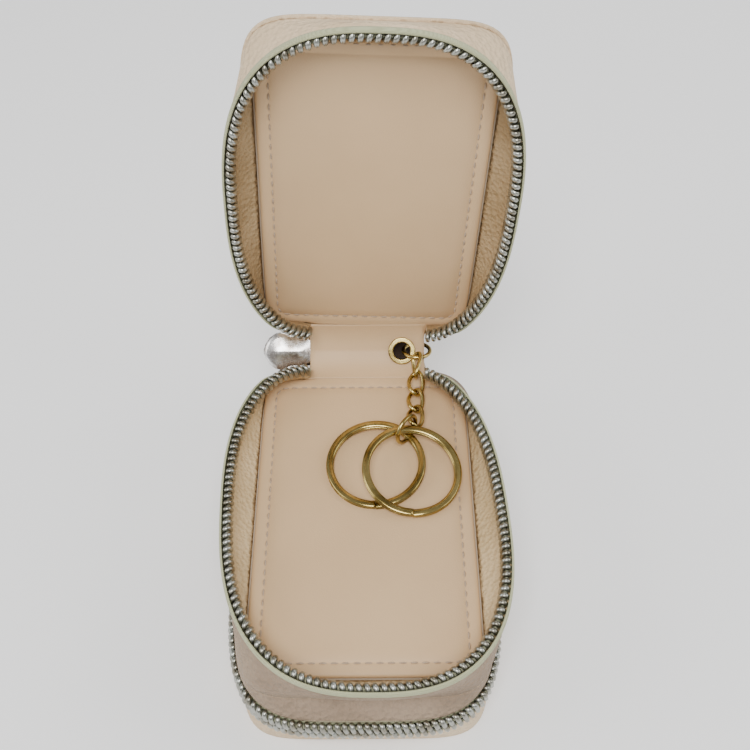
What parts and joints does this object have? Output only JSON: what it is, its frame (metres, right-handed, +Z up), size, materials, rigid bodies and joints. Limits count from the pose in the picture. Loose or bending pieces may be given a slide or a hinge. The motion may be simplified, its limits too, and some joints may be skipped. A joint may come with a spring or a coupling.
{
  "type": "zip key case",
  "caption": "Zip-around leather key case with a coin compartment, lying open, with key rings on a short chain.",
  "frame": {"origin": "middle of the coin cover's underside, on the surface that the case lies on", "axes": "+Z up through the trays, +X to the right, -Y to the front edge away from the spine"},
  "size_m": [0.07, 0.1123, 0.1252],
  "materials": {
    "outer_leather": "pebbled",
    "inner_leather": "smooth",
    "board": "matte",
    "lining": "woven",
    "zip_tape": "woven tape",
    "zip_teeth": "plated coil",
    "antique_brass": "antique",
    "nickel": "nickel plated",
    "washer_steel": "plain"
  },
  "bodies": {
    "coin_case": {"coin_cover": "outer_leather", "coin_board": "board", "coin_lining": "lining", "coin_lower_wall": "outer_leather", "coin_lower_tape": "zip_tape", "coin_lower_teeth": "zip_teeth", "coin_spine": "outer_leather"},
    "key_tray": {"divider_board": "board", "base_panel": "inner_leather", "base_gusset": "outer_leather", "base_tape": "zip_tape", "base_teeth": "zip_teeth", "coin_upper_wall": "outer_leather", "coin_roof_lining": "lining", "coin_upper_tape": "zip_tape", "coin_upper_teeth": "zip_teeth", "spine_liner": "inner_leather", "outer_spine": "outer_leather", "eyelet": "antique_brass", "eyelet_washer": "washer_steel"},
    "lid": {"lid_cover": "outer_leather", "lid_board": "board", "lid_panel": "inner_leather", "lid_gusset": "outer_leather", "lid_tape": "zip_tape", "lid_teeth": "zip_teeth"},
    "jump_ring": {"jump_ring": "antique_brass"},
    "chain_link_1": {"chain_link_1": "antique_brass"},
    "chain_link_2": {"chain_link_2": "antique_brass"},
    "chain_link_3": {"chain_link_3": "antique_brass"},
    "chain_link_4": {"chain_link_4": "antique_brass"},
    "end_link": {"end_link": "antique_brass"},
    "split_ring_left": {"split_ring_left": "antique_brass"},
    "split_ring_right": {"split_ring_right": "antique_brass"},
    "top_slider": {"top_slider": "nickel"},
    "top_pull": {"top_pull": "nickel"},
    "coin_slider": {"coin_slider": "nickel"},
    "coin_pull": {"coin_pull": "nickel"}
  },
  "joints": [
    {"name": "coin_hinge", "type": "hinge", "parent": "coin_case", "child": "key_tray", "pos_m": [0, 0.0476, 0.013], "axis": [-1, 0, 0], "range_deg": [0, 75], "deforming": ["coin_spine"]},
    {"name": "lid_hinge", "type": "hinge", "parent": "key_tray", "child": "lid", "pos_m": [0, 0.04271, 0.035], "axis": [0.9999, -0.0083, -0.0077], "range_deg": [-5, 94.2], "deforming": ["spine_liner", "outer_spine"]},
    {"name": "jump_ring_swing", "type": "hinge", "parent": "key_tray", "child": "jump_ring", "pos_m": [0.0142, 0.04972, 0.02745], "axis": [1, 0, 0], "range_deg": [-10, 0]},
    {"name": "chain_link_1_swing", "type": "hinge", "parent": "jump_ring", "child": "chain_link_1", "pos_m": [0.0142, 0.0469, 0.02867], "axis": [1, 0, 0], "range_deg": [-16, 0]},
    {"name": "chain_link_2_swing", "type": "hinge", "parent": "chain_link_1", "child": "chain_link_2", "pos_m": [0.0138, 0.04134, 0.02749], "axis": [1, 0, 0], "range_deg": [-16, 0]},
    {"name": "chain_link_3_swing", "type": "hinge", "parent": "chain_link_2", "child": "chain_link_3", "pos_m": [0.0135, 0.03565, 0.02719], "axis": [1, 0, 0], "range_deg": [-16, 0]},
    {"name": "chain_link_4_swing", "type": "hinge", "parent": "chain_link_3", "child": "chain_link_4", "pos_m": [0.01321, 0.02997, 0.02749], "axis": [1, 0, 0], "range_deg": [-16, 0]},
    {"name": "end_link_swing", "type": "hinge", "parent": "chain_link_4", "child": "end_link", "pos_m": [0.01301, 0.0244, 0.02867], "axis": [1, 0, 0], "range_deg": [-12, 0]},
    {"name": "split_ring_left_swing", "type": "hinge", "parent": "end_link", "child": "split_ring_left", "pos_m": [0.0103, 0.0225, 0.0277], "axis": [0.0426, 0.0528, -0.9977], "range_deg": [0, 25]},
    {"name": "split_ring_right_lift", "type": "hinge", "parent": "end_link", "child": "split_ring_right", "pos_m": [0.0107, 0.0226, 0.0296], "axis": [1, 0, 0], "range_deg": [-22, 0]},
    {"name": "top_slider_slide", "type": "slide", "parent": "key_tray", "child": "top_slider", "axis": [-1, 0, 0], "range_m": [0, 0.005]},
    {"name": "top_pull_swing", "type": "hinge", "parent": "top_slider", "child": "top_pull", "pos_m": [-0.0206, 0.05377, 0.0231], "axis": [0, 0.7325, 0.6807], "range_deg": [-15, 75]},
    {"name": "coin_slider_slide", "type": "slide", "parent": "coin_case", "child": "coin_slider", "axis": [0, -1, 0], "range_m": [0, 0.026]},
    {"name": "coin_pull_swing", "type": "hinge", "parent": "coin_slider", "child": "coin_pull", "pos_m": [0.0345, 0.012, 0.013], "axis": [0, 0, 1], "range_deg": [0, 100]}
  ]
}
